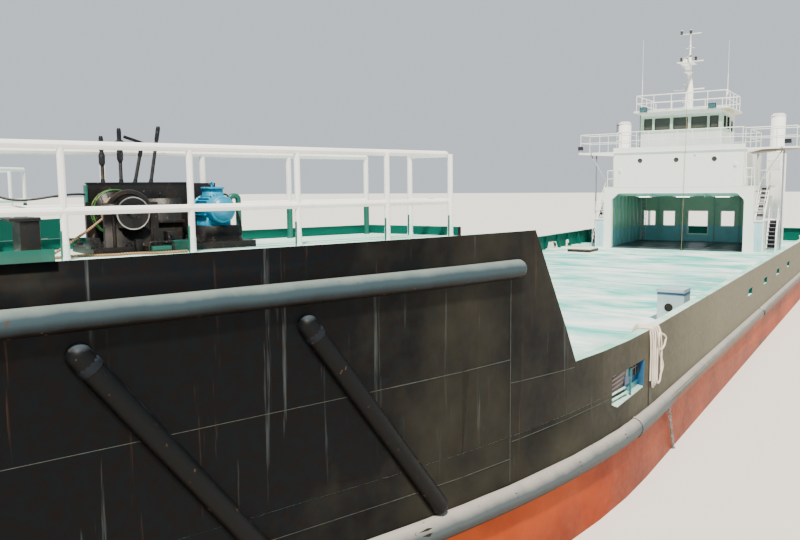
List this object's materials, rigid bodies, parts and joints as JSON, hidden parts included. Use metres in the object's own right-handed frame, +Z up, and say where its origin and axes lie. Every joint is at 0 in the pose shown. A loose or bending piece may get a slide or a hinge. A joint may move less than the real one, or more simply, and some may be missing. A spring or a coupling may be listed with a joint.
{
  "type": "river barge, self-propelled deck cargo barge with bow ramp, 1:2 scale model",
  "caption": "Flat-bottomed self-propelled river barge with raised bow wings, bow ramp, open cargo deck and an aft wheelhouse over an open bay, as a half-size scale model.",
  "frame": {"origin": "under the middle of the flat bottom, at the centre of the bounding box's base", "axes": "+X to port, +Y aft from the bow, +Z up"},
  "size_m": [7.3004, 29, 8.49],
  "materials": {
    "hull_paint": "satin black paint on the sides, red below, mint green deck",
    "green_paint": "gloss green enamel",
    "white_paint": "gloss white enamel",
    "black_paint": "satin black enamel",
    "blue_paint": "gloss blue enamel",
    "blue_grey_paint": "satin blue-grey enamel",
    "mooring_rope": "three-strand polyamide mooring rope, sun-bleached",
    "bronze": "cast bronze"
  },
  "bodies": {
    "hull_body": {"hull": "hull_paint", "bow_wing_port": "hull_paint", "bow_wing_starboard": "hull_paint", "bulwark_port": "green_paint", "bulwark_starboard": "green_paint", "rope_hank": "mooring_rope", "wing_rail_port": "white_paint", "wing_rail_starboard": "white_paint", "winch_bed_port": "black_paint", "winch_motor_port": "blue_paint", "control_stand_port": "black_paint", "winch_bed_starboard": "black_paint", "winch_motor_starboard": "blue_paint", "control_stand_starboard": "black_paint", "bay_walls": "white_paint", "boat_deck": "white_paint", "upper_walls": "white_paint", "bridge_deck": "white_paint", "wheelhouse_walls": "white_paint", "wheelhouse_roof": "white_paint", "mast": "white_paint", "funnel_port": "white_paint", "funnel_starboard": "white_paint", "stairs_port": "white_paint", "stairs_starboard": "white_paint", "locker_port": "blue_grey_paint", "locker_starboard": "blue_grey_paint", "boat_rail_aft": "white_paint", "boat_rail_port": "white_paint", "boat_rail_starboard": "white_paint", "bridge_ladder": "white_paint", "bridge_rail": "white_paint", "roof_rail": "white_paint", "vent_trunk": "blue_grey_paint"},
    "winch_drum_port_body": {"winch_drum_port": "green_paint"},
    "winch_drum_starboard_body": {"winch_drum_starboard": "green_paint"},
    "bow_ramp_body": {"bow_ramp": "green_paint"},
    "wheelhouse_door_port_body": {"wheelhouse_door_port": "white_paint"},
    "wheelhouse_door_starboard_body": {"wheelhouse_door_starboard": "white_paint"},
    "radar_scanner_body": {"radar_scanner": "white_paint"},
    "deck_hatch_body": {"deck_hatch_lid": "green_paint"},
    "vent_lid_body": {"vent_lid": "blue_grey_paint"},
    "propeller_port_body": {"propeller_port": "bronze"},
    "rudder_port_body": {"rudder_port": "hull_paint"},
    "propeller_starboard_body": {"propeller_starboard": "bronze"},
    "rudder_starboard_body": {"rudder_starboard": "hull_paint"}
  },
  "joints": [
    {"name": "winch_drum_port_turn", "type": "hinge", "parent": "hull_body", "child": "winch_drum_port_body", "pos_m": [1.96909, -12.42, 3.5703], "axis": [0.9451, -0.3267, 0], "continuous": true},
    {"name": "winch_drum_starboard_turn", "type": "hinge", "parent": "hull_body", "child": "winch_drum_starboard_body", "pos_m": [-1.96909, -12.42, 3.5703], "axis": [-0.9451, -0.3267, 0], "continuous": true},
    {"name": "bow_ramp_hinge", "type": "hinge", "parent": "hull_body", "child": "bow_ramp_body", "pos_m": [0, -14.435, 1.625], "axis": [1, 0, 0], "range_deg": [0, 100]},
    {"name": "wheelhouse_door_port_hinge", "type": "hinge", "parent": "hull_body", "child": "wheelhouse_door_port_body", "pos_m": [1.2, 10.44, 4.8175], "axis": [0, 0, -1], "range_deg": [0, 100]},
    {"name": "wheelhouse_door_starboard_hinge", "type": "hinge", "parent": "hull_body", "child": "wheelhouse_door_starboard_body", "pos_m": [-1.2, 10.44, 4.8175], "axis": [0, 0, 1], "range_deg": [0, 100]},
    {"name": "radar_scanner_turn", "type": "hinge", "parent": "hull_body", "child": "radar_scanner_body", "pos_m": [0, 9.725, 7.525], "axis": [0, 0, 1], "continuous": true},
    {"name": "deck_hatch_hinge", "type": "hinge", "parent": "hull_body", "child": "deck_hatch_body", "pos_m": [-2.275, 7.475, 1.7603], "axis": [-1, 0, 0], "range_deg": [0, 100]},
    {"name": "vent_lid_hinge", "type": "hinge", "parent": "hull_body", "child": "vent_lid_body", "pos_m": [3.19, -3.7, 2.1353], "axis": [0, 1, 0], "range_deg": [0, 110]},
    {"name": "propeller_port_turn", "type": "hinge", "parent": "hull_body", "child": "propeller_port_body", "pos_m": [1.5, 13.0003, 0.425], "axis": [0, 1, 0], "continuous": true},
    {"name": "rudder_port_turn", "type": "hinge", "parent": "hull_body", "child": "rudder_port_body", "pos_m": [1.5, 13.75, 0.5], "axis": [0, 0, 1], "range_deg": [-35, 35]},
    {"name": "propeller_starboard_turn", "type": "hinge", "parent": "hull_body", "child": "propeller_starboard_body", "pos_m": [-1.5, 13.0003, 0.425], "axis": [0, 1, 0], "continuous": true},
    {"name": "rudder_starboard_turn", "type": "hinge", "parent": "hull_body", "child": "rudder_starboard_body", "pos_m": [-1.5, 13.75, 0.5], "axis": [0, 0, 1], "range_deg": [-35, 35]}
  ]
}
